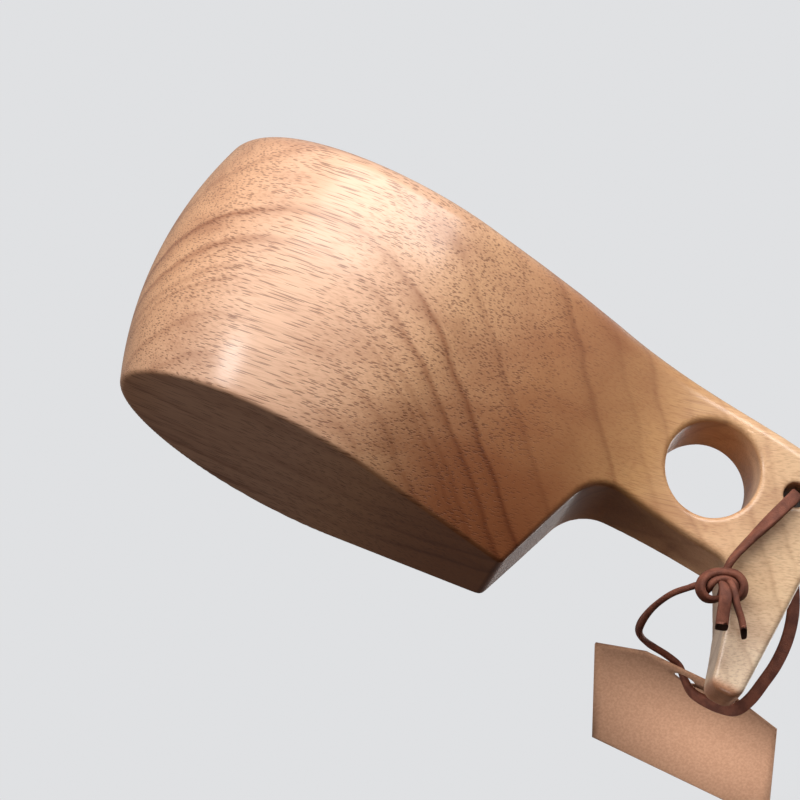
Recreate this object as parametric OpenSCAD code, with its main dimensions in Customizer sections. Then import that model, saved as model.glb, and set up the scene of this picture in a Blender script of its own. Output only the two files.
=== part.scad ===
// Kuksa: a drinking cup carved from one block of wood, with a finger hole in its handle,
// a flat leather lace knotted through a small hole in the handle, and a card hang tag on the lace.
// The base stands on z = 0, the bowl's axis is the Z axis, the handle points along +X,
// and the cup is symmetric about y = 0. All sizes are in millimetres.

/* [Bowl] */
// Height from the base to the rim
cup_h = 57; // [54:0.5:60]
// Greatest outside radius of the bowl
belly_r = 42.4; // [41:0.2:44]
// Height of the greatest radius
belly_z = 30; // [27:0.5:33]
// Radius of the barrel curve of the bowl's side
barrel_r = 79.5; // [76:0.5:90]
// Radius of the rounded outer edge of the rim
rim_round = 3.6; // [2:0.1:4]
// Radius of the rounded edge of the base
base_round = 1.2; // [0.6:0.1:2]
// Inside radius at the rim
mouth_r = 32.6; // [31:0.2:33]
// Greatest inside radius
hollow_r = 35.6; // [34:0.2:36]
// Thickness of the bowl's floor
floor_t = 7; // [5:0.5:9]
// Radius of the curve between the inside wall and the floor
hollow_round = 22; // [15:0.5:24]

/* [Handle] */
// Distance from the bowl's axis to the outer edge of the handle
handle_x = 105.3; // [103:0.1:107]
// Height of the handle's top edge at its outer end
handle_top_z = 53.2; // [52:0.2:55]
// Radius of the handle's top outer corner
handle_corner_r = 14; // [10:0.5:15]
// Slope of the bowl's flanks as they run into the handle, seen from above
flank_slope = 26.5; // [25:0.5:28]
// Thickness of the handle at the finger hole
handle_t = 23.4; // [22:0.2:24]
// Thickness of the handle at its outer edge
handle_end_t = 18; // [16:0.2:20]
// Thickness of the hook at its tip
hook_tip_t = 12; // [10:0.2:13]
// Length of the flat base along the handle side
arch_x = 49.2; // [47:0.2:51]
// Height of the underside of the handle
arch_z = 25.8; // [25:0.2:27]
// Radius of the arch between the bowl and the handle's underside
arch_r = 9; // [7:0.5:10]
// Steepness of the bowl side of the arch
arch_slope = 71; // [69:1:74]
// Gap between the hook's tip and the surface that the cup stands on
hook_lift = 0.8; // [0.5:0.1:2]

/* [Holes] */
// Radius of the finger hole
finger_hole_r = 10; // [9:0.1:10.5]
// Distance of the finger hole from the bowl's axis
finger_hole_x = 78.5; // [77:0.1:80]
// Height of the finger hole's centre
finger_hole_z = 39.8; // [39:0.1:41]
// Radius of the lanyard hole
lanyard_hole_r = 2.55; // [2.3:0.05:3]
// Distance of the lanyard hole from the bowl's axis
lanyard_hole_x = 96; // [95:0.1:97]
// Height of the lanyard hole's centre
lanyard_hole_z = 43.5; // [43:0.1:44]

/* [Lace] */
// Radius of the lace's round core
lace_r = 1.1; // [0.8:0.05:1.2]
// Radius of the knot
knot_r = 5; // [4:0.1:5.4]
// Thickness of the knot, front to back
knot_t = 6.4; // [5:0.1:6.6]

/* [Hang tag] */
// Width of the card
tag_w = 42; // [38:1:44]
// Length of the card
tag_l = 70; // [60:1:80]
// Thickness of the card
tag_t = 0.6; // [0.4:0.1:0.7]
// Sides of the triangles cut off the card's two corners by the hole
tag_clip = 12; // [10:0.5:13]
// Radius of the hole in the card
tag_hole_r = 2.5; // [2.3:0.1:2.8]
// Distance from the hole's centre to the card's near edge
tag_hole_edge = 5; // [4:0.5:6]
// Turn of the card about the vertical
tag_yaw = -11; // [-15:1:0]

/* [Hidden] */
$fn = 96;
arc_steps = 8;
bowl_steps = 16;
flank_steps = 13;
reach = 200;

// Bowl: the barrel curve is one arc, and the flanks of the neck are that same curve
// drawn out in a straight line, set in by a hair so that the two surfaces cross cleanly
barrel_cx = belly_r - barrel_r;
neck_inset = 0.25;
flank_angle = 90 - flank_slope;
neck_x = belly_r * cos(flank_angle);

// Hollow: a straight wall that leans in towards the rim, above one large round
hollow_z = floor_t + hollow_round;

// Hook: its inner edge runs from the underside of the handle down to the tip
hook_root = [90.2, 24];
hook_bend = [95.2, 13.5];
hook_low = [97.0, 7.5];
hook_tip_r = 2.6;
hook_tip_w = 6.6;
hook_root_r = 4;

// Handle: its top edge near the bowl, and where its sides begin to taper, just past the finger hole
top_start_x = 38;
top_mid = [60, 55.2];
taper_x = finger_hole_x + finger_hole_r;

// Hang tag: the hole's centre is where the lace holds it, and the far edge lies on the table
tag_hole = [94.5, 16, 4.8];
tag_rest_gap = 0.1;
tag_pitch = asin((tag_hole.z - tag_t / 2 - tag_rest_gap) / (tag_l - tag_hole_edge));

// Lace: it leaves the knot in front of the hook, climbs to the lanyard hole, goes through it,
// comes down behind the handle, under the card, up through the card's hole and back to the knot
lace_route = [
    [90.6, -13.8, 20.4], [90.4, -13.4, 24.4], [91.9, -13.2, 30], [93.8, -13.1, 36], [95.3, -12.8, 40.8],
    [96, -11.4, 43.2], [96, -8.6, 43.6], [96, 0, 43.5], [96, 8.6, 43.6], [96.6, 11.5, 43],
    [99, 12.9, 40.8], [102.6, 13.1, 36.6], [106, 12.7, 31.4], [108.2, 12, 26.4], [109.4, 11.4, 21],
    [109.6, 11.1, 15.6], [109, 11, 10.8], [108.2, 11, 6.4], [106.6, 11.6, 3.2], [103.6, 13, 2.4],
    [100, 14.4, 2.4], [97, 15.5, 3], [94.5, 16, 4.8], [92.2, 15.6, 6.7], [88.8, 15, 7.3],
    [85.2, 13.6, 7.2], [82.4, 10.8, 7.1], [81, 6.6, 7.5], [80.8, 1.8, 9], [81.4, -3.2, 11],
    [83, -8, 13.4], [85.4, -11.4, 15.4], [88.4, -13.6, 16.8]
];
knot_centre = [91, -14.3, 18.2];
knot_tilt = 28;
end_routes = [
    [[91.6, -15, 17], [92.8, -15.8, 14], [94, -15.6, 12], [95.2, -15, 9.8]],
    [[92.4, -14.6, 17.4], [95, -15.2, 15.2], [97.4, -15, 13.2], [99.4, -14.4, 11.2]]
];

function barrel_x(z) = barrel_cx + sqrt(pow(barrel_r, 2) - pow(z - belly_z, 2));
function arc(centre, r, from, to) =
    [for (i = [0 : arc_steps]) centre + r * [cos(from + (to - from) * i / arc_steps),
                                             sin(from + (to - from) * i / arc_steps)]];
// Round off the corner at b of the outline a-b-c
function fillet(a, b, c, r) =
    let (u = unit(a - b), v = unit(c - b), half = acos(u * v) / 2,
         centre = b + unit(u + v) * r / sin(half),
         start = b + u * r / tan(half) - centre, stop = b + v * r / tan(half) - centre,
         from = atan2(start.y, start.x), turn = atan2(stop.y, stop.x) - from,
         sweep = turn > 180 ? turn - 360 : turn < -180 ? turn + 360 : turn)
    arc(centre, r, from, from + sweep);
function unit(v) = v / norm(v);

// The barrel curve from z = low to z = high, set in by inset
function barrel_points(low, high, inset, steps) =
    [for (i = [0 : steps]) let (z = low + (high - low) * i / steps) [barrel_x(z) - inset, z]];

// A swept tube: rings across the route at its points, carried along it without twist
function tangent(p, i) = unit(p[min(i + 1, len(p) - 1)] - p[max(i - 1, 0)]);
function square_to(v, t) = unit(v - (v * t) * t);
function ring_sides(p, i, v) =
    i == len(p) ? [] : let (s = square_to(v, tangent(p, i))) concat([s], ring_sides(p, i + 1, s));

module tube(route, r, sides) {
    across = ring_sides(route, 0, [1, 0.3, 0]);
    points = [
        for (i = [0 : len(route) - 1], k = [0 : sides - 1])
            let (s = across[i], t = tangent(route, i), a = 360 * k / sides)
                route[i] + r * (cos(a) * s + sin(a) * cross(t, s))
    ];
    last = (len(route) - 1) * sides;
    walls = [
        for (i = [0 : len(route) - 2], k = [0 : sides - 1])
            let (a = i * sides + k, b = i * sides + (k + 1) % sides)
                each [[a, b + sides, b], [a, a + sides, b + sides]]
    ];
    caps = [[for (k = [0 : sides - 1]) k], [for (k = [sides - 1 : -1 : 0]) last + k]];
    polyhedron(points, concat(walls, caps));
}

// The bowl's outside, turned about its axis
module bowl_outside() {
    top_r = barrel_x(cup_h - rim_round) - rim_round;
    bottom_r = barrel_x(base_round) - base_round;
    rotate_extrude()
        polygon(concat(
            [[0, 0]],
            arc([bottom_r, base_round], base_round, -90, 0),
            barrel_points(base_round, cup_h - rim_round, 0, bowl_steps),
            arc([top_r, cup_h - rim_round], rim_round, 0, 90),
            [[0, cup_h]]
        ));
}

// The hollow for the drink, open past the rim
module bowl_hollow() {
    rotate_extrude()
        polygon(concat(
            [[0, floor_t]],
            arc([hollow_r - hollow_round, hollow_z], hollow_round, -90, 0),
            [[mouth_r, cup_h - 1], [mouth_r + 1.5, cup_h + 1], [0, cup_h + 1]]
        ));
}

// Handle, arch and hook as seen from the side
module handle_outline() {
    arch_top = [arch_x + arch_z / tan(arch_slope), arch_z];
    corner = [handle_x - handle_corner_r, handle_top_z - handle_corner_r];
    tip_z = hook_lift;
    tip_in = [handle_x - hook_tip_w, tip_z];
    tip_out = [handle_x, tip_z];
    polygon(concat(
        [[neck_x, 0], [arch_x, 0]],
        fillet([arch_x, 0], arch_top, hook_root, arch_r),
        fillet(arch_top, hook_root, hook_bend, hook_root_r),
        [hook_bend, hook_low],
        fillet(hook_low, tip_in, tip_out, hook_tip_r),
        fillet(tip_in, tip_out, corner + [handle_corner_r, 0], hook_tip_r),
        arc(corner, handle_corner_r, 0, 90),
        [top_mid, [top_start_x, cup_h], [neck_x, cup_h]]
    ));
}

// The bowl's side drawn out along one flank of the neck
module flank(side) {
    rotate([0, 0, side * flank_angle])
        rotate([90, 0, 0])
            linear_extrude(reach, center = true)
                polygon(concat(
                    [[-reach, -1]],
                    barrel_points(-1, cup_h + 1, neck_inset, flank_steps),
                    [[-reach, cup_h + 1]]
                ));
}

// The neck narrows from the bowl to the handle
module neck() {
    intersection() {
        flank(1);
        flank(-1);
    }
}

// The handle's plate, thinner towards its outer edge and towards the hook's tip
module plate() {
    intersection() {
        linear_extrude(cup_h)
            polygon([
                [neck_x, -handle_t / 2], [taper_x, -handle_t / 2], [handle_x, -handle_end_t / 2],
                [handle_x, handle_end_t / 2], [taper_x, handle_t / 2], [neck_x, handle_t / 2]
            ]);
        rotate([90, 0, 90])
            linear_extrude(reach)
                polygon([
                    [-hook_tip_t / 2, 0], [hook_tip_t / 2, 0], [handle_t / 2, arch_z],
                    [handle_t / 2, cup_h], [-handle_t / 2, cup_h], [-handle_t / 2, arch_z]
                ]);
    }
}

// A round hole through the handle from side to side
module cross_hole(x, z, r) {
    translate([x, 0, z])
        rotate([90, 0, 0])
            cylinder(h = 2 * handle_t, r = r, center = true);
}

module cup() {
    color("burlywood")
        difference() {
            union() {
                bowl_outside();
                intersection() {
                    rotate([90, 0, 0])
                        linear_extrude(2 * belly_r, center = true)
                            handle_outline();
                    union() {
                        neck();
                        plate();
                    }
                }
            }
            bowl_hollow();
            cross_hole(finger_hole_x, finger_hole_z, finger_hole_r);
            cross_hole(lanyard_hole_x, lanyard_hole_z, lanyard_hole_r);
        }
}

module lace_loop() {
    color("saddlebrown")
        tube(lace_route, lace_r, 8);
}

// The knot's outer shape: a thick disc with a rounded rim, facing out from the handle
module lace_knot() {
    edge = knot_t / 2;
    color("saddlebrown")
        translate(knot_centre)
            rotate([0, -knot_tilt, 0])
                rotate([90, 0, 0])
                    rotate_extrude()
                        polygon(concat(
                            [[0, -edge]],
                            arc([knot_r - edge, 0], edge, -90, 90),
                            [[0, edge]]
                        ));
}

module lace_ends() {
    color("saddlebrown")
        for (route = end_routes)
            tube(route, lace_r, 8);
}

// A card with two clipped corners at the end with the hole
module hang_tag() {
    near = -tag_hole_edge;
    color("tan")
        translate(tag_hole)
            rotate([0, 0, tag_yaw])
                rotate([-tag_pitch, 0, 0])
                    linear_extrude(tag_t, center = true)
                        difference() {
                            polygon([
                                [tag_clip - tag_w / 2, near], [tag_w / 2 - tag_clip, near],
                                [tag_w / 2, near + tag_clip], [tag_w / 2, near + tag_l],
                                [-tag_w / 2, near + tag_l], [-tag_w / 2, near + tag_clip]
                            ]);
                            circle(tag_hole_r);
                        }
}

cup();
lace_loop();
lace_knot();
lace_ends();
hang_tag();
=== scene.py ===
"""Looks of the kuksa: a carved wooden cup, its leather lace and a card hang tag.

The cup is one solid, described by its distance field and turned into a smooth mesh.
Shapes are worked out in millimetres, as in the CAD, and become metres as each mesh is made.
"""

import math

import bpy
import numpy as np
from mathutils import Matrix, Vector, geometry


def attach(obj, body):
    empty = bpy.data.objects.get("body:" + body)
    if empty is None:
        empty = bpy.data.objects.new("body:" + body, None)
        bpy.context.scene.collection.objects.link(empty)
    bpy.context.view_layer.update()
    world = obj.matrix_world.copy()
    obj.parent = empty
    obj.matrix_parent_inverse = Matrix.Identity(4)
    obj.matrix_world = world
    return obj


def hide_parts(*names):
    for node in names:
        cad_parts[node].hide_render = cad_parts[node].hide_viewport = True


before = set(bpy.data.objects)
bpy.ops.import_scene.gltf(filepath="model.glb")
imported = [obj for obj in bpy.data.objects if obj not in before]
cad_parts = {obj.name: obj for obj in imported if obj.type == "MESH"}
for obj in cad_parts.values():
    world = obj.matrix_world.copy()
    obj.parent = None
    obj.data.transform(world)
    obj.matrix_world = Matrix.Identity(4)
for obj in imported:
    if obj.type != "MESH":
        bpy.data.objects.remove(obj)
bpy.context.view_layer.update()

MM = 0.001

# ---------------------------------------------------------------- camera

VIEW_ELEVATION = math.radians(-14.8)
VIEW_ROLL = math.radians(28.2)
VIEW_TARGET = Vector((15.6, 0, 24.4)) * MM
VIEW_DISTANCE = 1.5
VIEW_LENS = 329.4


def add_object(name, data):
    made = bpy.data.objects.new(name, data)
    bpy.context.scene.collection.objects.link(made)
    return made


def aim(made, place, direction, roll=0.0):
    """Puts a camera or light at a place, looking along a direction."""
    turn = direction.to_track_quat("-Z", "Y").to_matrix().to_4x4()
    made.matrix_world = Matrix.Translation(place) @ turn @ Matrix.Rotation(roll, 4, "Z")


def make_camera():
    data = bpy.data.cameras.new("view")
    data.lens = VIEW_LENS
    camera = add_object("view", data)
    forward = Vector((0, math.cos(VIEW_ELEVATION), -math.sin(VIEW_ELEVATION)))
    aim(camera, VIEW_TARGET - forward * VIEW_DISTANCE, forward, VIEW_ROLL)
    bpy.context.scene.camera = camera


make_camera()

# ---------------------------------------------------------------- materials


def srgb(red, green, blue):
    """A colour given as it looks on a screen, 0 to 255, as Blender's linear RGBA."""
    linear = [(c / 255 + 0.055) / 1.055 for c in (red, green, blue)]
    return (*[c**2.4 for c in linear], 1.0)


class Nodes:
    """A node tree. Each call adds one node and returns one of its outputs."""

    def __init__(self, tree):
        self.tree = tree

    def add(self, kind, values=None, settings=None, output=0):
        """Adds a node. Each of its inputs takes a value or another node's output."""
        node = self.tree.nodes.new("ShaderNode" + kind)
        for name, value in (settings or {}).items():
            setattr(node, name, value)
        for socket, value in (values or {}).items():
            if isinstance(value, bpy.types.NodeSocket):
                self.tree.links.new(value, node.inputs[socket])
            else:
                node.inputs[socket].default_value = value
        return node.outputs[output]

    def math(self, operation, *values):
        return self.add("Math", dict(enumerate(values)), {"operation": operation})

    def spaced(self, vector, x, y, z):
        """The vector, so scaled that a pattern one unit across becomes x by y by z."""
        values = {0: vector, 1: (1 / x, 1 / y, 1 / z)}
        return self.add("VectorMath", values, {"operation": "MULTIPLY"})

    def dot(self, vector, shares):
        """The sum of the vector's x, y and z, each times its share."""
        values = {0: vector, 1: shares}
        return self.add("VectorMath", values, {"operation": "DOT_PRODUCT"}, output="Value")

    def split(self, vector):
        node = self.add("SeparateXYZ", {0: vector}).node
        return node.outputs[0], node.outputs[1], node.outputs[2]

    def join(self, x, y, z):
        return self.add("CombineXYZ", {0: x, 1: y, 2: z})

    def noise(self, vector, detail=2.0):
        """Noise with features about one unit across, from 0 to 1."""
        return self.add("TexNoise", {"Vector": vector, "Scale": 1.0, "Detail": detail})

    def step(self, value, low, high, start=0.0, end=1.0):
        """A soft step from start to end as value goes from low to high."""
        values = {0: value, 1: low, 2: high, 3: start, 4: end}
        return self.add("MapRange", values, {"interpolation_type": "SMOOTHSTEP"})

    def mix(self, share, first, second, blend="MIX"):
        """The first colour with a share of the second mixed in."""
        settings = {"data_type": "RGBA", "blend_type": blend}
        return self.add("Mix", {0: share, 6: first, 7: second}, settings, output=2)

    def ramp(self, value, stops):
        """Colours at places from 0 to 1, with a smooth change between them."""
        output = self.add("ValToRGB", {0: value})
        elements = output.node.color_ramp.elements
        while len(elements) < len(stops):
            elements.new(1.0)
        for element, (at, colour) in zip(elements, stops):
            element.position = at
            element.color = colour
        return output


class Paint(Nodes):
    """A material round one Principled shader."""

    def __init__(self, name, **values):
        self.material = bpy.data.materials.new(name)
        self.material.use_nodes = True
        super().__init__(self.material.node_tree)
        self.shader = self.tree.nodes["Principled BSDF"]
        for socket, value in values.items():
            self.shader.inputs[socket.replace("_", " ")].default_value = value

    def place(self):
        """Where a point lies in the piece, in millimetres."""
        return self.spaced(self.add("TexCoord", output="Object"), MM, MM, MM)

    def bump(self, height, distance):
        """A surface normal for relief that is this many millimetres high."""
        values = {"Height": height, "Distance": distance * MM, "Strength": 1.0}
        return self.add("Bump", values)

    def finish(self, **sockets):
        """Links outputs to the shader's inputs and gives the material."""
        for socket, value in sockets.items():
            self.tree.links.new(value, self.shader.inputs[socket.replace("_", " ")])
        return self.material


# The wood's colour from the bowl's far side, at x = -45, to the end of the handle, at x = 105
WOOD_START = -45.0
WOOD_END = 105.0
# The paler, pinker tones at x = -25 and 0 are partly the wood's own and partly painted sheen of the
# broad highlight on the bowl's front
WOOD_TONES_AND_SHEEN = [
    (-45, srgb(226, 168, 118)), (-25, srgb(228, 185, 154)), (0, srgb(226, 183, 152)),
    (18, srgb(222, 173, 131)), (38, srgb(180, 126, 84)), (50, srgb(168, 116, 74)),
    (66, srgb(198, 150, 100)), (80, srgb(222, 178, 134)), (105, srgb(240, 208, 168)),
]
RED_WOOD = srgb(142, 78, 44)
# Partly the hook's own paler wood and partly painted light on its lower face
PALE_AND_LIT_WOOD = srgb(250, 228, 202)
WORN_WOOD = srgb(202, 134, 94)
STREAK_BROWN = srgb(148, 84, 47)
RING_TINT = srgb(160, 116, 86)
PORE_BROWN = srgb(106, 60, 38)

# Zones of another tone: a darker red low on the bowl, growing towards the bottom and fainter on
# the base, then the pale hook, partly its own paler wood and partly painted light on its lower
# face, and its worn tip. Each has its tone, its share, and soft steps along x or z, given as the
# axis, where the step begins and ends, and what is left of the share at its beginning.
WOOD_ZONES = [
    (RED_WOOD, 0.75, [
        ("z", 32.0, 4.0, 0.0), ("z", 0.1, 1.0, 0.45), ("x", 8.0, 34.0, 0.0), ("x", 66.0, 50.0, 0.0),
    ]),
    (PALE_AND_LIT_WOOD, 0.75, [("z", 24.0, 8.0, 0.0), ("x", 80.0, 90.0, 0.0)]),
    (WORN_WOOD, 0.85, [("z", 3.6, 1.2, 0.0), ("x", 80.0, 90.0, 0.0)]),
]

# Pores: their spacing along, across and up the wood, and where they thin out along the cup
PORE_SPACING = (9, 0.65, 0.34)
PORE_DARKNESS = 0.58
PORE_DEPTH = 0.04
PORES_THIN_OUT = {"low": 33.0, "high": 54.0, "start": 1.0, "end": 0.25}

# Along X the fibres drift in y and z: the slope at x = 0, and half its change per millimetre
FIBRE_DRIFT_Y = (-0.28, 0.0035)
FIBRE_DRIFT_Z = (0.11, 0.0016)
# The bowl is cut along its fibres near this plane, where the rings show least
ALONG_FIBRES = (0.935, -0.354, 0.0)
ALONG_FIBRES_AT = 5.0
RINGS_CLEAR = {"low": 6.0, "high": 24.0, "start": 0.2, "end": 0.95}

# Depth through the growth rings, as shares of x, y, z, x^2, z^2 and xz in millimetres
RING_SLOPE = (-0.2243, -0.5295, -1.2556)
RING_BENDS = (-0.00303, 0.00739, -0.0007)
RING_LOW = -104.0
RING_HIGH = 34.0
# Dark late wood: its depth through the rings and how strong it is
RINGS = [
    (-97, 0.35), (-90, 0.2), (-83, 0.3), (-76, 0.4), (-69, 0.2), (-62, 0.45),
    (-55, 0.25), (-45.5, 0.6), (-37, 0.12), (-26, 0.4), (-15.1, 1.0), (-9.3, 0.9),
    (-4.3, 0.4), (-1.7, 0.5), (5.3, 0.5), (13.6, 0.45), (19, 0.35), (24, 0.3),
]
# A ring's darkness over its depth: it ends at once on one side and fades on the other
RING_EDGE = 0.9
RING_FADE = 3.4
RING_PROFILE = [(-RING_EDGE, 0.0), (0.0, 1.0), (0.35 * RING_FADE, 0.3), (RING_FADE, 0.0)]
RING_STRENGTH = 0.72
RING_WANDER = 0.8
# A colour ramp holds at most 32 stops, and a ring takes four
RINGS_PER_RAMP = 8


def ring_shade(paint, depth):
    """How dark the late wood is at a depth through the rings, from 0 to 1."""
    share = paint.add("MapRange", {0: depth, 1: RING_LOW, 2: RING_HIGH})
    span = RING_HIGH - RING_LOW
    shade = 0.0
    for first in range(0, len(RINGS), RINGS_PER_RAMP):
        stops = []
        for place, strength in RINGS[first:first + RINGS_PER_RAMP]:
            for shift, level in RING_PROFILE:
                value = level * strength
                stops.append(((place + shift - RING_LOW) / span, (value, value, value, 1.0)))
        shade = paint.math("ADD", shade, paint.ramp(share, sorted(stops)))
    return shade


def wood():
    """Oiled wood with growth rings, streaks and pores, all as one solid pattern."""
    paint = Paint("kuksa_wood", Roughness=0.5, Coat_Weight=0.7, Coat_Roughness=0.22)
    place = paint.place()
    x, y, z = paint.split(place)

    # The fibres run along the cup, and rise a little more towards the handle
    drifts = [
        paint.math("MULTIPLY", x, paint.math("MULTIPLY_ADD", x, bend, slope))
        for slope, bend in (FIBRE_DRIFT_Y, FIBRE_DRIFT_Z)
    ]
    fibres = paint.join(x, paint.math("SUBTRACT", y, drifts[0]), paint.math("SUBTRACT", z, drifts[1]))

    # Growth rings are gently bent sheets that the carving cuts through
    squares = paint.join(*[paint.math("MULTIPLY", a, b) for a, b in ((x, x), (z, z), (x, z))])
    bent = paint.math("ADD", paint.dot(place, RING_SLOPE), paint.dot(squares, RING_BENDS))
    wander = paint.noise(paint.spaced(fibres, 30, 9, 9))
    depth = paint.math("ADD", bent, paint.step(wander, 0.2, 0.8, -RING_WANDER, RING_WANDER))
    beside = paint.math("SUBTRACT", paint.dot(place, ALONG_FIBRES), ALONG_FIBRES_AT)
    clearness = paint.step(paint.math("ABSOLUTE", beside), **RINGS_CLEAR)
    rings = paint.math("MULTIPLY", ring_shade(paint, depth), clearness)

    # Broad colour changes, with painted sheen in the pale tones on the bowl's front, then fine streaks
    # along the fibres
    stops = [((at - WOOD_START) / (WOOD_END - WOOD_START), tone) for at, tone in WOOD_TONES_AND_SHEEN]
    colour = paint.ramp(paint.add("MapRange", {0: x, 1: WOOD_START, 2: WOOD_END}), stops)
    axes = {"x": x, "z": z}
    for tone, share, steps in WOOD_ZONES:
        for axis, begin, end, left in steps:
            share = paint.math("MULTIPLY", share, paint.step(axes[axis], begin, end, left, 1.0))
        colour = paint.mix(share, colour, tone)
    broad = paint.noise(paint.spaced(fibres, 50, 9, 9))
    colour = paint.mix(paint.step(broad, 0.4, 0.75, 0.0, 0.35), colour, RED_WOOD)
    colour = paint.mix(paint.math("MULTIPLY", rings, RING_STRENGTH), colour, RING_TINT, "MULTIPLY")
    streaks = paint.noise(paint.spaced(fibres, 9, 0.35, 0.35))
    colour = paint.mix(paint.step(streaks, 0.42, 0.75, 0.0, 0.32), colour, STREAK_BROWN)

    # Pores show as long dashes along the fibres and as dots across them, most of all in the rings
    cells = paint.spaced(fibres, *PORE_SPACING)
    cell = paint.add("TexVoronoi", {"Vector": cells, "Scale": 1.0})
    where = paint.noise(paint.spaced(fibres, 12, 4, 4))
    size = paint.math("MULTIPLY_ADD", rings, 0.1, paint.step(where, 0.3, 0.65, 0.26, 0.39))
    pores = paint.step(paint.math("DIVIDE", cell, size), 0.7, 1.1, 1.0, 0.0)
    pores = paint.math("MULTIPLY", pores, paint.step(x, **PORES_THIN_OUT))
    colour = paint.mix(paint.math("MULTIPLY", pores, PORE_DARKNESS), colour, PORE_BROWN)

    height = paint.math("MULTIPLY_ADD", streaks, 0.2, paint.math("MULTIPLY", pores, -1.0))
    return paint.finish(Base_Color=colour, Normal=paint.bump(height, PORE_DEPTH))


LEATHER_DARK = srgb(92, 48, 34)
LEATHER_LIGHT = srgb(126, 72, 53)
LEATHER_PITS = srgb(70, 38, 28)
# Near black: a cut end's own darker colour, deepened with painted shade
LEATHER_CUT_AND_SHADE = srgb(14, 8, 6)
LEATHER_RELIEF = 0.12


def leather(name, brightness):
    """Soft reddish leather. A cut end is darker than a face: the cut leather's own darker colour,
    deepened with painted shade.
    """
    paint = Paint(name, Roughness=0.75)
    place = paint.place()
    mottle = paint.noise(paint.spaced(place, 2.5, 2.5, 2.5), detail=4.0)
    grain = paint.noise(paint.spaced(place, 0.3, 0.3, 0.3), detail=3.0)
    colour = paint.mix(paint.step(mottle, 0.3, 0.7), LEATHER_DARK, LEATHER_LIGHT)
    colour = paint.mix(paint.step(grain, 0.5, 0.75, 0.0, 0.35), colour, LEATHER_PITS)
    colour = paint.mix(1 - brightness, colour, LEATHER_CUT_AND_SHADE)
    return paint.finish(Base_Color=colour, Normal=paint.bump(grain, LEATHER_RELIEF))


CARD_DARK = srgb(184, 138, 108)
CARD_LIGHT = srgb(200, 154, 124)
CARD_FLECK = srgb(150, 106, 80)
CARD_RELIEF = 0.03


def card():
    """Kraft card, with its fibres and a few dark flecks."""
    paint = Paint("tag_card", Roughness=0.85)
    place = paint.place()
    fibre = paint.noise(paint.spaced(place, 0.5, 1.6, 0.5), detail=4.0)
    flecks = paint.noise(paint.spaced(place, 0.35, 0.35, 0.35), detail=2.0)
    colour = paint.mix(paint.step(fibre, 0.3, 0.7), CARD_DARK, CARD_LIGHT)
    colour = paint.mix(paint.step(flecks, 0.62, 0.75, 0.0, 0.5), colour, CARD_FLECK)
    return paint.finish(Base_Color=colour, Normal=paint.bump(fibre, CARD_RELIEF))


# ---------------------------------------------------------------- pieces


def add_piece(name, points, faces, material, body, nodes):
    """A mesh from points in millimetres, on its body and the CAD nodes it replaces."""
    mesh = bpy.data.meshes.new(name)
    mesh.from_pydata((np.asarray(points) * MM).tolist(), [], [list(f) for f in faces])
    mesh.shade_smooth()
    mesh.materials.append(material)
    piece = add_object(name, mesh)
    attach(piece, body)
    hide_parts(*nodes)
    return piece


def unit(vector):
    vector = np.asarray(vector, float)
    return vector / np.linalg.norm(vector)


# ---------------------------------------------------------------- lace

# The lace's route from the knot to the hole, through the card and back, as in the CAD
LACE_ROUTE = [
    [0.0906, -0.0138, 0.0204], [0.0904, -0.0134, 0.0244], [0.0919, -0.0132, 0.030],
    [0.0938, -0.0131, 0.036], [0.0953, -0.0128, 0.0408], [0.096, -0.0114, 0.0432],
    [0.096, -0.0086, 0.0436], [0.096, 0, 0.0435], [0.096, 0.0086, 0.0436],
    [0.0966, 0.0115, 0.043], [0.099, 0.0129, 0.0408], [0.1026, 0.0131, 0.0366],
    [0.106, 0.0127, 0.0314], [0.1082, 0.012, 0.0264], [0.1094, 0.0114, 0.021],
    [0.1096, 0.0111, 0.0156], [0.109, 0.011, 0.0108], [0.1082, 0.011, 0.0064],
    [0.1066, 0.0116, 0.0032], [0.1036, 0.013, 0.0024], [0.100, 0.0144, 0.0024],
    [0.097, 0.0155, 0.003], [0.0945, 0.016, 0.0048], [0.0922, 0.0156, 0.0067],
    [0.0888, 0.015, 0.0073], [0.0852, 0.0136, 0.0072], [0.0824, 0.0108, 0.0071],
    [0.081, 0.0066, 0.0075], [0.0808, 0.0018, 0.009], [0.0814, -0.0032, 0.011],
    [0.083, -0.008, 0.0134], [0.0854, -0.0114, 0.0154], [0.0884, -0.0136, 0.0168],
]
LACE_WIDTH = 2.7
LACE_THICK = 1.3
LACE_STEP = 0.6
# How many points go round the strip, and how square its section is: 1 is an ellipse, 0 a rectangle
LACE_SIDES = 14
LACE_SQUARENESS = 0.5
# How far a cut end leans, as millimetres along the lace for each one towards the front
CUT_SLANT = 1.1
# How much of a face's colour a cut end keeps; the rest is its darker cut colour and painted shade
CUT_BRIGHTNESS = 0.25
PARTS_PER_SPAN = 24

# The knot's own directions: across it, up it and out from the handle
KNOT_CENTRE = np.array([91.0, -14.3, 18.2])
KNOT_ACROSS = unit([0.883, 0.0, 0.469])
KNOT_UP = unit([-0.469, 0.0, 0.883])
KNOT_OUT = np.array([0.0, -1.0, 0.0])

# The front strand goes behind the knot, once round it, and comes out over itself
FRONT_TURN = [
    (0.9, 2.8, -1.8), (0.4, 0.0, -1.9), (-0.5, -2.2, -1.8), (-3.0, -2.5, -0.9), (-4.5, -0.9, 0.0),
    (-4.1, 1.1, 0.2), (-2.3, 2.5, 0.3), (0.6, 2.9, 0.3), (3.2, 2.3, 0.2), (4.5, 0.4, 0.0),
    (4.1, -1.7, -0.6), (2.6, -2.2, -1.6), (0.9, -1.0, -1.4), (0.4, 0.4, 0.2), (0.3, -1.0, 1.9),
    (0.2, -3.2, 2.4), (-0.2, -6.0, 1.8), (-0.5, -8.8, 1.2),
]
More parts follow.
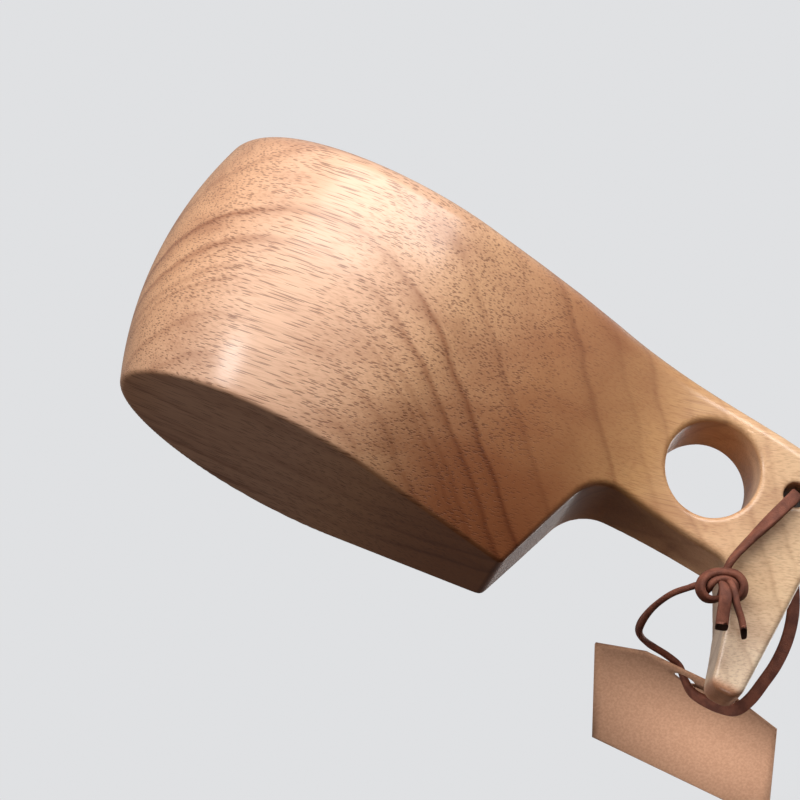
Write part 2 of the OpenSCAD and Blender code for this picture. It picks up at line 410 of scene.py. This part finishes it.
# The other strand comes in from the side, goes round inside the first, and out beside it
SIDE_TURN = [
    (-4.7, 0.4, -1.9), (-3.3, -0.3, -1.2), (-2.7, 0.4, 0.2), (-1.5, 1.4, 0.5), (0.4, 1.6, 0.4),
    (2.2, 1.1, 0.2), (3.0, -0.1, 0.0), (2.8, -1.3, -0.9), (1.9, -1.4, -1.4), (1.4, -0.3, -0.4),
    (1.5, -0.1, 1.0), (2.0, -1.6, 1.9), (2.7, -4.5, 1.9), (3.6, -7.2, 1.4), (4.1, -9.7, 1.0),
]


def in_knot(turn):
    """Points given in the knot's directions, as points of the cup's frame."""
    axes = np.array([KNOT_ACROSS, KNOT_UP, KNOT_OUT])
    return [KNOT_CENTRE + np.array(point) @ axes for point in turn]


def smooth_path(points, step):
    """A smooth curve through the points, cut into even steps."""
    points = np.array(points, float)
    before = np.vstack([2 * points[0] - points[1], points[:-1]])
    after = np.vstack([points[1:], 2 * points[-1] - points[-2]])
    slopes = (after - before) / 2
    t = np.linspace(0, 1, PARTS_PER_SPAN, endpoint=False)[:, None]
    spans = []
    for i in range(len(points) - 1):
        a, b, u, v = points[i], points[i + 1], slopes[i], slopes[i + 1]
        leaving = (2 * t**3 - 3 * t**2 + 1) * a + (t**3 - 2 * t**2 + t) * u
        arriving = (3 * t**2 - 2 * t**3) * b + (t**3 - t**2) * v
        spans.append(leaving + arriving)
    dense = np.vstack([*spans, points[-1:]])
    along = np.concatenate([[0], np.cumsum(np.linalg.norm(np.diff(dense, axis=0), axis=1))])
    even = np.linspace(0, along[-1], round(along[-1] / step) + 1)
    return np.column_stack([np.interp(even, along, dense[:, k]) for k in range(3)])


def carried_frames(path, keys):
    """Across and out directions of a flat strip, carried along its path without needless twist.

    keys are pairs of a point near the path and the way that the strip's flat side faces there.
    """
    tangents = np.gradient(path, axis=0)
    tangents /= np.linalg.norm(tangents, axis=1)[:, None]
    not_along = [0.3, 0.2, 1.0]
    faces = [unit(np.cross(tangents[0], not_along))]
    for tangent in tangents[1:]:
        faces.append(unit(faces[-1] - (faces[-1] @ tangent) * tangent))
    faces = np.array(faces)
    sides = np.cross(tangents, faces)
    places, angles = [], []
    for point, wanted in keys:
        i = int(np.argmin(np.linalg.norm(path - np.asarray(point), axis=1)))
        angle = math.atan2(sides[i] @ wanted, faces[i] @ wanted)
        # Half turns are taken out, because the strip's two flat sides are alike
        if angles:
            angle += math.pi * round((angles[-1] - angle) / math.pi)
        places.append(i)
        angles.append(angle)
    order = np.argsort(places)
    turn = np.interp(np.arange(len(path)), np.array(places)[order], np.array(angles)[order])[:, None]
    outs = np.cos(turn) * faces + np.sin(turn) * sides
    return np.cross(outs, tangents), outs


def rounded_square(wave, size):
    """A cosine or sine made squarer, so that the strip's section has flat sides and round corners."""
    return np.sign(wave) * np.abs(wave) ** LACE_SQUARENESS * size / 2


def make_lace(material, cut_end):
    """One flat strip from cut end to cut end, through the knot, the hole and the card."""
    # The route's first and last points are inside the knot, where the two turns take over
    route = [np.array(point) / MM for point in LACE_ROUTE[1:-1]]
    front, side = in_knot(FRONT_TURN), in_knot(SIDE_TURN)
    path = smooth_path(front[::-1] + route + side, LACE_STEP)
    left, up, back = -KNOT_ACROSS, np.array([0, 0, 1.0]), np.array([0, 1.0, 0])
    # Which way the flat side faces at points along the route
    keys = [
        (front[-1], KNOT_OUT), (front[-3], KNOT_OUT), (front[9], unit(KNOT_ACROSS + 0.5 * KNOT_OUT)),
        (front[7], unit(KNOT_UP + 0.5 * KNOT_OUT)), (front[4], unit(left + 0.5 * KNOT_OUT)),
        (front[0], left), (route[1], unit(left + 0.4 * KNOT_OUT)), (route[3], KNOT_OUT), (route[6], up),
        (route[11], back), (route[14], back), (route[18], unit(up + back)), (route[21], up),
        (route[24], unit(0.2 * left - up)), (route[25], unit(left - up)), (route[26], left),
        (route[28], unit(left + KNOT_UP)), (route[30], unit(left + 2 * KNOT_UP)), (side[0], KNOT_UP),
        (side[2], unit(left + 0.5 * KNOT_OUT)), (side[4], unit(KNOT_UP + 0.5 * KNOT_OUT)),
        (side[6], unit(KNOT_ACROSS + 0.5 * KNOT_OUT)), (side[-3], KNOT_ACROSS), (side[-1], KNOT_ACROSS),
    ]
    across, out = carried_frames(path, keys)
    angles = np.linspace(0, 2 * math.pi, LACE_SIDES, endpoint=False)
    flat = rounded_square(np.cos(angles), LACE_WIDTH)
    high = rounded_square(np.sin(angles), LACE_THICK)
    rings = path[:, None] + flat[:, None] * across[:, None] + high[:, None] * out[:, None]
    # The cut ends slant, so that their dark faces show from the front
    for end, ahead in ((0, path[0] - path[1]), (-1, path[-1] - path[-2])):
        front_of_path = (rings[end] - path[end]) @ KNOT_OUT
        rings[end] -= unit(ahead) * CUT_SLANT * front_of_path[:, None]
    count, sides = rings.shape[:2]
    faces = []
    for here in range(0, (count - 1) * sides, sides):
        for k in range(sides):
            beside = (k + 1) % sides
            faces.append((here + k, here + beside, here + sides + beside, here + sides + k))
    last = (count - 1) * sides
    faces += [tuple(reversed(range(sides))), tuple(last + k for k in range(sides))]
    nodes = ["lace_loop", "lace_knot", "lace_ends"]
    lace = add_piece("leather_lace", rings.reshape(-1, 3), faces, material, "lanyard", nodes)
    # The end caps take the darker material, partly painted shade
    lace.data.materials.append(cut_end)
    for cap in list(lace.data.polygons)[-2:]:
        cap.material_index = 1
        cap.use_smooth = False


make_lace(leather("lace_leather", 1.0), leather("lace_cut_end_shaded", CUT_BRIGHTNESS))

# ---------------------------------------------------------------- cup

# The CAD's measures, but for the edges, which are crisper here, and the end of the handle's top
CUP_H = 57.0
BELLY_R = 42.4
BELLY_Z = 30.0
BARREL_R = 79.5
RIM_ROUND = 3.6
BASE_ROUND = 0.7
MOUTH_R = 32.6
HOLLOW_R = 35.6
FLOOR_T = 7.0
HOLLOW_ROUND = 22.0
LIP_ROUND = 1.4

HANDLE_X = 105.3
HANDLE_END_Z = 52.3
FLANK_ANGLE = math.radians(63.5)
FLANK_BLEND = 6.0
NECK_X = BELLY_R * math.cos(FLANK_ANGLE)
HANDLE_HALF_T = 11.7
HANDLE_END_HALF_T = 9.0
HOOK_TIP_HALF_T = 6.0
TAPER_X = 88.5
TAPER_BLEND = 2.0
ARCH_X = 49.2
ARCH_Z = 25.8
ARCH_SLOPE = math.radians(71)
UNDER_ROUND = 1.3
HANDLE_ROUND = 2.6
HOOK_LIFT = 0.8

# Holes through the handle: x, z, radius, and how far the edge is rounded
FINGER_HOLE = (78.5, 39.8, 10.0, 1.2)
LANYARD_HOLE = (96.0, 43.5, 2.55, 0.5)

# Where one edge rounding gives way to the next, along the cup or up it
UNDER_STARTS_X = (45, 60)
HANDLE_STARTS_Z = (27, 42)
RIM_STARTS_Z = (30, 48)
RIM_ENDS_X = (50, 85)

# The side view's corners, each with the radius that rounds it off
SIDE_CORNERS = [
    ((-60, 0), 0),
    ((ARCH_X, 0), 1.6),
    ((ARCH_X + ARCH_Z / math.tan(ARCH_SLOPE), ARCH_Z), 9),
    ((90.2, 24), 4.5),
    ((95.2, 13.5), 14),
    ((97, 7.5), 10),
    ((HANDLE_X - 6.6, HOOK_LIFT), 2.6),
    ((HANDLE_X, HOOK_LIFT), 2.6),
    ((HANDLE_X, HANDLE_END_Z), 14),
    ((60, 55.2), 500),
    ((38, CUP_H), 250),
    ((-60, CUP_H), 0),
]
ARC_STEP = math.radians(3.5)

# The grid that the cup's surface is found on, and how it is brought onto the exact surface
GRID_LOW = np.array([-44.8, -44.8, -2.4])
GRID_HIGH = np.array([108.0, 45.6, 60.0])
GRID_CELL = 0.7
SNAP_ROUNDS = 3
SNAP_REACH = 0.1
NORMAL_REACH = 0.25


def soft_step(value, low, high):
    """A soft step from 0 to 1 as value goes from low to high."""
    share = np.clip((value - low) / (high - low), 0, 1)
    return share * share * (3 - 2 * share)


def round_meet(a, b, radius):
    """The part that lies in both solids, with the edge where they meet rounded off."""
    corner = np.hypot(np.maximum(a + radius, 0), np.maximum(b + radius, 0))
    return np.minimum(np.maximum(a, b), -radius) + corner


def soft_join(a, b, reach):
    """Both solids together, with a soft fillet. A negative reach keeps what they share instead."""
    share = np.clip(0.5 + 0.5 * (b - a) / reach, 0, 1)
    return b + (a - b) * share - reach * share * (1 - share)


def rounded_outline(corners):
    """A closed outline with each corner turned into an arc."""
    outline = []
    for i, (corner, radius) in enumerate(corners):
        corner = np.array(corner, float)
        if radius == 0:
            outline.append(corner)
            continue
        back = unit(np.array(corners[i - 1][0]) - corner)
        ahead = unit(np.array(corners[(i + 1) % len(corners)][0]) - corner)
        half = math.acos(back @ ahead) / 2
        centre = corner + unit(back + ahead) * radius / math.sin(half)
        start = corner + back * radius / math.tan(half) - centre
        stop = corner + ahead * radius / math.tan(half) - centre
        sweep = math.pi - 2 * half
        for share in np.linspace(0, 1, math.ceil(sweep / ARC_STEP) + 1):
            mixed = math.sin((1 - share) * sweep) * start + math.sin(share * sweep) * stop
            outline.append(centre + mixed / math.sin(sweep))
    return outline


SIDE_OUTLINE = rounded_outline(SIDE_CORNERS)


def outline_distance(x, z):
    """Distance to the side view's outline, negative inside it."""
    shape = np.broadcast_shapes(np.shape(x), np.shape(z))
    nearest = np.full(shape, np.inf)
    inside = np.zeros(shape, bool)
    for i, (ax, az) in enumerate(SIDE_OUTLINE):
        bx, bz = SIDE_OUTLINE[i - 1]
        ex, ez = bx - ax, bz - az
        share = np.clip(((x - ax) * ex + (z - az) * ez) / (ex * ex + ez * ez), 0, 1)
        nearest = np.minimum(nearest, np.hypot(x - ax - share * ex, z - az - share * ez))
        if ez != 0:
            inside ^= ((az > z) != (bz > z)) & (x < ax + (z - az) * ex / ez)
    return np.where(inside, -nearest, nearest)


def cup_field(x, y, z):
    """Distance to the cup's surface, negative in the wood."""
    y = np.abs(y)
    radius = np.hypot(x, y)

    # The bowl is a barrel, and its round plan runs straight on along each flank
    along_flank = x * math.cos(FLANK_ANGLE) + y * math.sin(FLANK_ANGLE)
    on_flank = y * math.cos(FLANK_ANGLE) < x * math.sin(FLANK_ANGLE)
    reach = np.where(on_flank, along_flank, radius)
    bowl = np.hypot(reach + BARREL_R - BELLY_R, z - BELLY_Z) - BARREL_R

    # The handle is a plate that thins towards its end and towards the hook's tip
    end_share = np.clip((x - TAPER_X) / (HANDLE_X - TAPER_X), 0, 1)
    hook_share = np.clip(1 - z / ARCH_Z, 0, 1)
    thin_end = HANDLE_HALF_T + (HANDLE_END_HALF_T - HANDLE_HALF_T) * end_share
    thin_hook = HANDLE_HALF_T + (HOOK_TIP_HALF_T - HANDLE_HALF_T) * hook_share
    plate = np.maximum(y + soft_join(-thin_end, -thin_hook, -TAPER_BLEND), NECK_X - x)

    # The side view cuts both, and its edge is crisp at the base and roundest at the rim
    sides = soft_join(bowl, plate, FLANK_BLEND)
    edge = BASE_ROUND + (UNDER_ROUND - BASE_ROUND) * soft_step(x, *UNDER_STARTS_X)
    edge = edge + (HANDLE_ROUND - edge) * soft_step(z, *HANDLE_STARTS_Z)
    on_rim = soft_step(z, *RIM_STARTS_Z) * (1 - soft_step(x, *RIM_ENDS_X))
    edge = edge + (RIM_ROUND - HANDLE_ROUND) * on_rim
    solid = round_meet(sides, outline_distance(x, z), edge)

    wall = np.interp(z, [FLOOR_T + HOLLOW_ROUND, CUP_H], [HOLLOW_R, MOUTH_R])
    hollow = round_meet(radius - wall, FLOOR_T - z, HOLLOW_ROUND)
    solid = round_meet(solid, -hollow, LIP_ROUND)
    for hole_x, hole_z, hole_r, hole_edge in (FINGER_HOLE, LANYARD_HOLE):
        solid = round_meet(solid, hole_r - np.hypot(x - hole_x, z - hole_z), hole_edge)
    return solid


def field_slope(points, reach):
    """The field's slope at each point, found over a small reach: the way out of the wood."""
    slope = np.zeros_like(points)
    for axis in range(3):
        shift = np.zeros(3)
        shift[axis] = reach
        ahead, behind = cup_field(*(points + shift).T), cup_field(*(points - shift).T)
        slope[:, axis] = (ahead - behind) / (2 * reach)
    return slope


def surface_net(values, low, cell):
    """One point in each grid cell that the surface crosses, and the quads that join them."""
    total = np.zeros((*np.array(values.shape) - 1, 3))
    count = np.zeros(np.array(values.shape) - 1)
    crossings = []
    for axis in range(3):
        # Where the surface crosses the grid's edges along this axis, counted in cells
        start, stop = [slice(None)] * 3, [slice(None)] * 3
        start[axis], stop[axis] = slice(None, -1), slice(1, None)
        a, b = values[tuple(start)], values[tuple(stop)]
        crossed = (a < 0) != (b < 0)
        at = np.stack(np.indices(a.shape), axis=-1).astype(float)
        at[..., axis] += np.where(crossed, a / np.where(crossed, a - b, 1), 0)
        at[~crossed] = 0
        crossings.append((crossed, a < 0))
        # Each crossing counts towards the four cells round its edge
        others = [k for k in range(3) if k != axis]
        for du in (0, 1):
            for dv in (0, 1):
                part = [slice(None)] * 3
                for other, d in zip(others, (du, dv)):
                    part[other] = slice(d, values.shape[other] - 1 + d)
                total += at[tuple(part)]
                count += crossed[tuple(part)]
    # A cell's point is the mean of its crossings
    used = count > 0
    points = total[used] / count[used][:, None] * cell + low
    index = np.full(used.shape, -1)
    index[used] = np.arange(used.sum())
    # The points round each crossed edge make a quad, turned to face out of the wood
    quads = []
    for axis, (crossed, starts_inside) in enumerate(crossings):
        at = np.argwhere(crossed)
        u, v = np.eye(3, dtype=int)[(axis + 1) % 3], np.eye(3, dtype=int)[(axis + 2) % 3]
        quad = np.stack([index[tuple((at - d).T)] for d in (0 * u, u, u + v, v)], axis=1)
        outward = starts_inside[crossed]
        quads.append(np.where(outward[:, None], quad, quad[:, ::-1]))
    return points, np.vstack(quads)


def make_cup(material):
    """The cup's mesh, with its points on the exact surface and its normals from the field."""
    grid = [np.arange(low, high, GRID_CELL) for low, high in zip(GRID_LOW, GRID_HIGH)]
    x, y, z = np.meshgrid(*grid, indexing="ij", sparse=True)
    points, quads = surface_net(cup_field(x, y, z), GRID_LOW, GRID_CELL)
    for _ in range(SNAP_ROUNDS):
        slope = field_slope(points, SNAP_REACH)
        depth = cup_field(*points.T)
        points -= slope * (depth / (slope**2).sum(axis=1))[:, None]
    cup = add_piece("carved_cup", points, quads.tolist(), material, "cup", ["cup"])
    slope = field_slope(points, NORMAL_REACH)
    normals = slope / np.linalg.norm(slope, axis=1)[:, None]
    cup.data.normals_split_custom_set_from_vertices(normals.tolist())


make_cup(wood())

# ---------------------------------------------------------------- hang tag

TAG_W = 42.0
TAG_L = 70.0
TAG_T = 0.5
TAG_CLIP = 12.0
TAG_HOLE_R = 2.5
TAG_HOLE_EDGE = 5.0
TAG_YAW = math.radians(-11)
TAG_HOLE = Vector((94.5, 16.0, 4.8))
TAG_REST_GAP = 0.1
# The card arches along its length, and its long edges rise a little
TAG_ARCH = 0.9
TAG_RISE = 0.5
TAG_CELL = 2.0
TAG_HOLE_SIDES = 24
TAG_CLEARANCE = 1.0


def ring_edges(first, count):
    """The edges that join points first, first + 1 and so on into a closed ring."""
    return [(first + k, first + (k + 1) % count) for k in range(count)]


def tag_outline():
    """The card's edge, round its hole's centre: two clipped corners near the hole, two square ones."""
    near, far, half = -TAG_HOLE_EDGE, TAG_L - TAG_HOLE_EDGE, TAG_W / 2
    return [
        (TAG_CLIP - half, near), (half - TAG_CLIP, near), (half, near + TAG_CLIP),
        (half, far), (-half, far), (-half, near + TAG_CLIP),
    ]


def make_tag(material):
    """A thin bent card, made flat in triangles round its hole and then laid down."""
    outline = [Vector(point) for point in tag_outline()]
    angles = [2 * math.pi * k / TAG_HOLE_SIDES for k in range(TAG_HOLE_SIDES)]
    hole = [Vector((math.cos(a), math.sin(a))) * TAG_HOLE_R for a in angles]
    columns = np.arange(-TAG_W / 2 + TAG_CELL, TAG_W / 2, TAG_CELL)
    rows = np.arange(-TAG_HOLE_EDGE + TAG_CELL, TAG_L - TAG_HOLE_EDGE, TAG_CELL)
    inner = []
    for x in columns:
        for y in rows:
            off_hole = math.hypot(x, y) - TAG_HOLE_R
            off_clipped_corner = TAG_W / 2 - TAG_CLIP + TAG_HOLE_EDGE + y - abs(x)
            if off_hole > TAG_CLEARANCE and off_clipped_corner > TAG_CLEARANCE:
                inner.append(Vector((x, y)))
    points = outline + hole + inner
    edges = ring_edges(0, len(outline)) + ring_edges(len(outline), len(hole))
    flat, _, faces, *_ = geometry.delaunay_2d_cdt(points, edges, [], 2, 1e-4)
    # The triangles that fill the hole are left out
    centres = [sum((flat[i] for i in face), Vector((0, 0))) / 3 for face in faces]
    faces = [face for face, centre in zip(faces, centres) if centre.length > TAG_HOLE_R]
    # The lace holds the card up at its hole, and its far end lies on the floor
    fall = TAG_HOLE.z - TAG_T / 2 - TAG_REST_GAP
    pitch = math.asin(fall / (TAG_L - TAG_HOLE_EDGE))
    turn = Matrix.Rotation(TAG_YAW, 4, "Z") @ Matrix.Rotation(-pitch, 4, "X")
    card_points = []
    for x, y in flat:
        along = (y + TAG_HOLE_EDGE) / TAG_L
        curl = TAG_ARCH * math.sin(math.pi * along) + TAG_RISE * (2 * x / TAG_W) ** 2
        card_points.append(TAG_HOLE + turn @ Vector((x, y, curl)))
    tag = add_piece("hang_tag_card", card_points, faces, material, "tag", ["hang_tag"])
    solidify = tag.modifiers.new("thickness", "SOLIDIFY")
    solidify.thickness = TAG_T * MM
    solidify.offset = 0


make_tag(card())

# ---------------------------------------------------------------- stage

# The stage is in metres
FLOOR_SIZE = 3.0
FLOOR_FADE = 0.5
FLOOR_Z = -0.0002
FLOOR_GREY = srgb(214, 212, 208)

# Towards the room's bright side, which leans because the photographed cup lies on its side.
# The room changes from dark to bright between these two shares of a direction along it.
ROOM_UP = (-0.35, 0.0, 0.94)
ROOM_DARK = -0.3
ROOM_BRIGHT = 0.7
ROOM_BELOW = (0.045, 0.0235, 0.0138, 1)
ROOM_ABOVE = (0.30, 0.30, 0.31, 1)
ROOM_SEEN = (0.744, 0.752, 0.768, 1)

# Each light's name, the side of the cup that it is on, its distance, size, power and colour
LIGHTS = [
    ("key", (-0.4, -0.68, 0.6), 1.2, 0.9, 13.0, (1.0, 0.97, 0.93)),
    ("left", (-0.71, -0.71, 0.0), 1.2, 1.1, 4.8, (1.0, 0.98, 0.95)),
    ("glint", (-0.78, -0.52, -0.28), 1.0, 0.2, 2.0, (1.0, 0.96, 0.94)),
    ("top", (0.17, -0.7, 0.7), 1.2, 0.5, 5.5, (1.0, 0.99, 0.98)),
    ("back", (0.6, 0.7, 0.45), 1.2, 0.9, 6.0, (1.0, 0.98, 0.95)),
]
TAG_LIGHT_TARGET = Vector((0.110, 0.052, 0.003))
TAG_LIGHT_SIDE = Vector((0.02, -0.08, -0.26))
TAG_LIGHT_POWER = 3.9
TAG_LIGHT_CONE = math.radians(19)


def soft_light(name, direction, distance, size, power, colour):
    """A soft square light that shines on the cup from a direction."""
    data = bpy.data.lights.new(name, "AREA")
    data.size = size
    data.energy = power
    data.color = colour
    direction = Vector(direction).normalized()
    aim(add_object(name, data), VIEW_TARGET + direction * distance, -direction)


def tag_light():
    """A narrow light from below that brings out the card's underside for the low camera."""
    data = bpy.data.lights.new("tag_light", "SPOT")
    data.energy = TAG_LIGHT_POWER
    data.spot_size = TAG_LIGHT_CONE
    data.spot_blend = 1.0
    data.shadow_soft_size = 0.03
    aim(add_object("tag_light", data), TAG_LIGHT_TARGET + TAG_LIGHT_SIDE, -TAG_LIGHT_SIDE)


def make_floor():
    """A pale floor that fades out round the cup, and only shows from above.

    So the low camera sees the cup's base.
    """
    mesh = bpy.data.meshes.new("floor")
    half = FLOOR_SIZE / 2
    corners = [(-half, -half), (half, -half), (half, half), (-half, half)]
    mesh.from_pydata([(x, y, FLOOR_Z) for x, y in corners], [], [(0, 1, 2, 3)])
    paint = Paint("floor", Roughness=0.9, Base_Color=FLOOR_GREY)
    seen = paint.add("LightPath", output="Is Camera Ray")
    from_below = paint.add("NewGeometry", output="Backfacing")
    from_above = paint.math("MAXIMUM", paint.math("SUBTRACT", seen, from_below), 0.0)
    far = paint.add("VectorMath", {0: paint.place()}, {"operation": "LENGTH"}, output="Value")
    near = paint.step(far, FLOOR_FADE / MM, FLOOR_SIZE / 2 / MM, 1.0, 0.0)
    shown = paint.math("MULTIPLY", near, from_above)
    clear = paint.add("BsdfTransparent")
    surface = paint.add("MixShader", {0: shown, 1: clear, 2: paint.shader.outputs[0]})
    paint.tree.links.new(surface, paint.tree.nodes["Material Output"].inputs["Surface"])
    mesh.materials.append(paint.material)
    add_object("floor", mesh)


def make_world():
    """A pale room: plain to the camera, and as a light far dimmer and warmer below than above."""
    world = bpy.data.worlds.new("room")
    world.use_nodes = True
    bpy.context.scene.world = world
    nodes = Nodes(world.node_tree)
    way = nodes.add("TexCoord", output="Generated")
    height = nodes.add("MapRange", {0: nodes.dot(way, ROOM_UP), 1: ROOM_DARK, 2: ROOM_BRIGHT})
    light_colour = nodes.mix(height, ROOM_BELOW, ROOM_ABOVE)
    seen = nodes.add("LightPath", output="Is Camera Ray")
    colour = nodes.mix(seen, light_colour, ROOM_SEEN)
    nodes.tree.links.new(colour, nodes.tree.nodes["Background"].inputs["Color"])


make_floor()
make_world()
for light in LIGHTS:
    soft_light(*light)
tag_light()
bpy.context.scene.view_settings.view_transform = "Standard"
